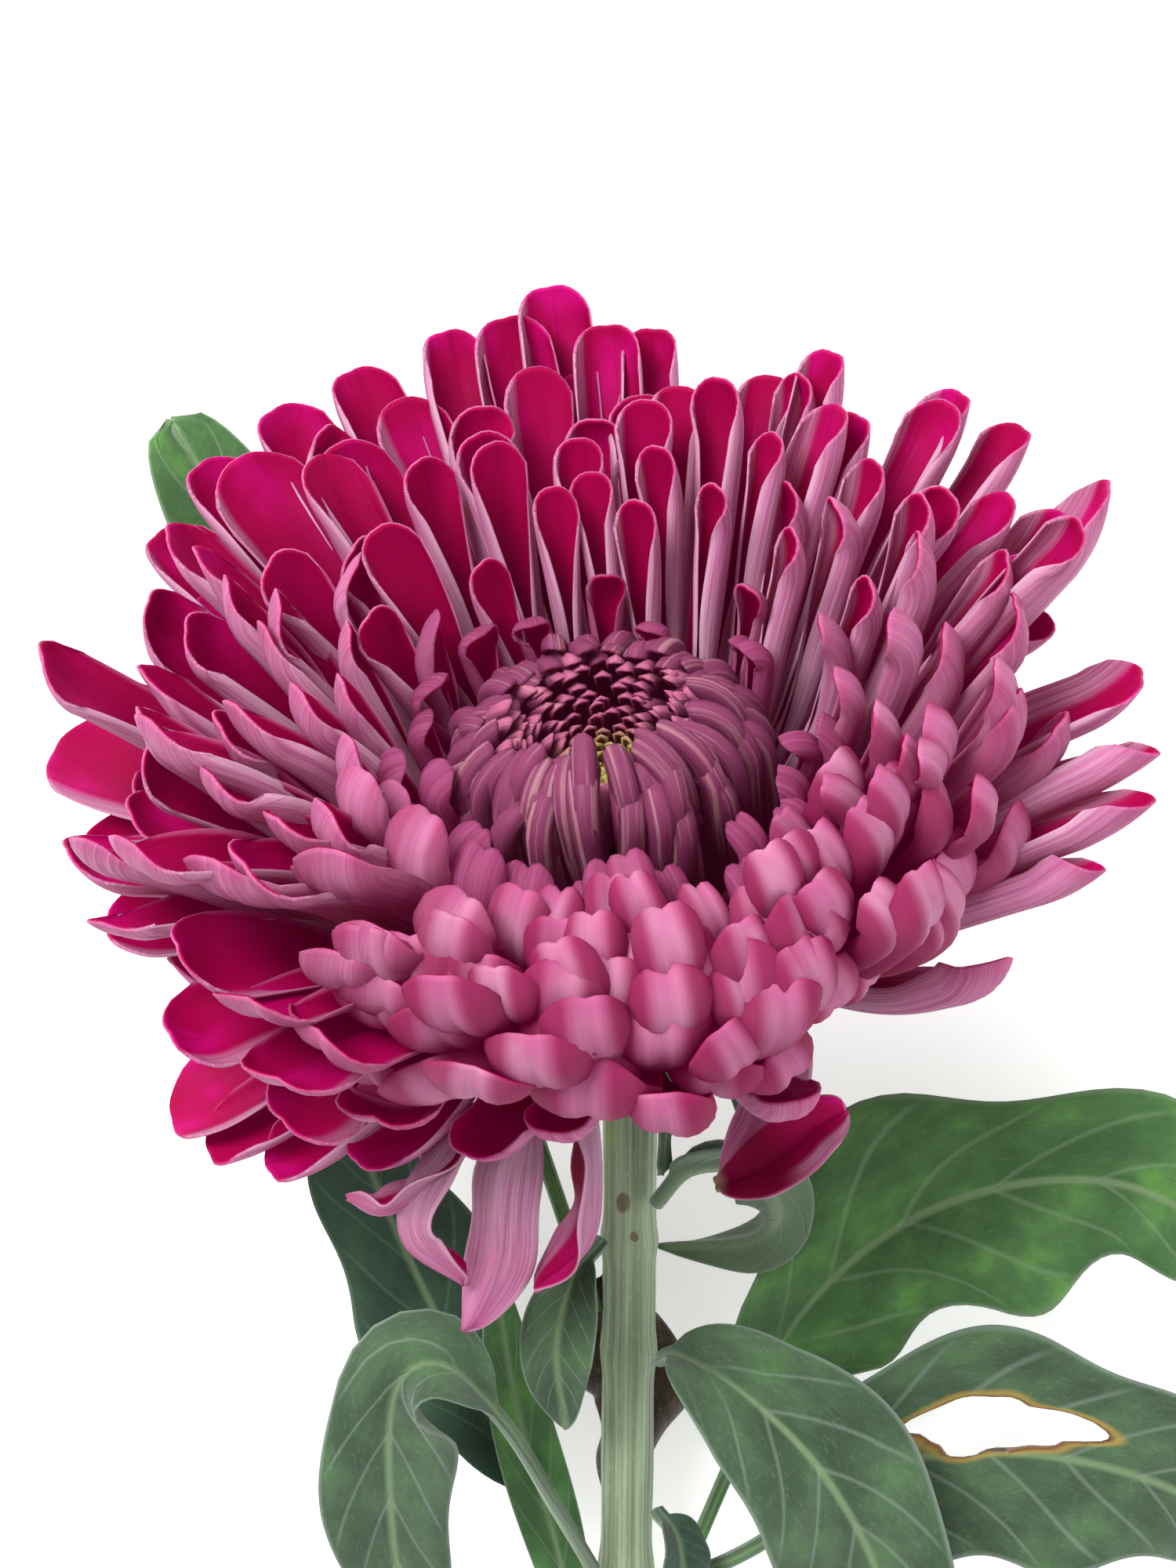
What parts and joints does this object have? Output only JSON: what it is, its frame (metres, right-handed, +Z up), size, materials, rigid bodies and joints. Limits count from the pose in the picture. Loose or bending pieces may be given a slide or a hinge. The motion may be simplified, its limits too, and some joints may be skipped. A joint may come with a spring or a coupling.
{
  "type": "cut chrysanthemum flower",
  "caption": "Cut chrysanthemum lying on its back: an incurved button in a bowl of crimson petals with pale backs, on a ribbed stem with lobed leaves.",
  "frame": {"origin": "on the surface it lies on, under the middle of the laid flower's bounding box", "axes": "+Z up from the surface, +Y from the cut end towards the bloom, +X to the right seen from above with the bloom at the top"},
  "size_m": [0.1426, 0.1918, 0.0848],
  "materials": {
    "petal": "satin crimson inner face, pale rose back with fine lengthwise veins",
    "button": "satin plum rose with pale lengthwise streaks",
    "heart": "matt yellow green shading to plum",
    "leaf": "matt, finely downy grey green with paler veins",
    "bract": "matt green, finely downy",
    "stem": "matt pale green with lengthwise ribs",
    "withered": "dull dry brown"
  },
  "bodies": {
    "root": {"inner_whorl_1": "petal", "inner_whorl_2": "petal", "middle_whorl_1": "petal", "middle_whorl_2": "petal", "outer_whorl_1": "petal", "outer_whorl_2": "petal", "drooping_petal_01": "petal", "drooping_petal_02": "petal", "drooping_petal_03": "petal", "drooping_petal_04": "petal", "drooping_petal_05": "petal", "drooping_petal_06": "petal", "drooping_petal_07": "petal", "drooping_petal_08": "petal", "drooping_petal_09": "petal", "drooping_petal_10": "petal", "drooping_petal_11": "petal", "drooping_petal_12": "petal", "drooping_petal_13": "petal", "drooping_petal_14": "petal", "drooping_petal_15": "petal", "drooping_petal_16": "petal", "drooping_petal_17": "petal", "drooping_petal_18": "petal", "drooping_petal_19": "petal", "drooping_petal_20": "petal", "drooping_petal_21": "petal", "drooping_petal_22": "petal", "drooping_petal_23": "petal", "drooping_petal_24": "petal", "drooping_petal_25": "petal", "drooping_petal_26": "petal", "button": "button", "heart": "heart", "receptacle": "stem", "involucre": "bract", "stem": "stem", "leaf_front_right": "leaf", "leaf_right_torn": "leaf", "leaf_right_high": "leaf", "leaf_left_arched": "leaf", "leaf_left_shaded": "leaf", "leaf_behind_bloom": "leaf", "leaf_strap": "leaf", "leaf_bud": "leaf", "bract_hanging": "bract", "bract_curled": "bract", "bract_thin": "bract", "bract_sliver": "bract", "leaf_withered": "withered"}
  },
  "joints": []
}
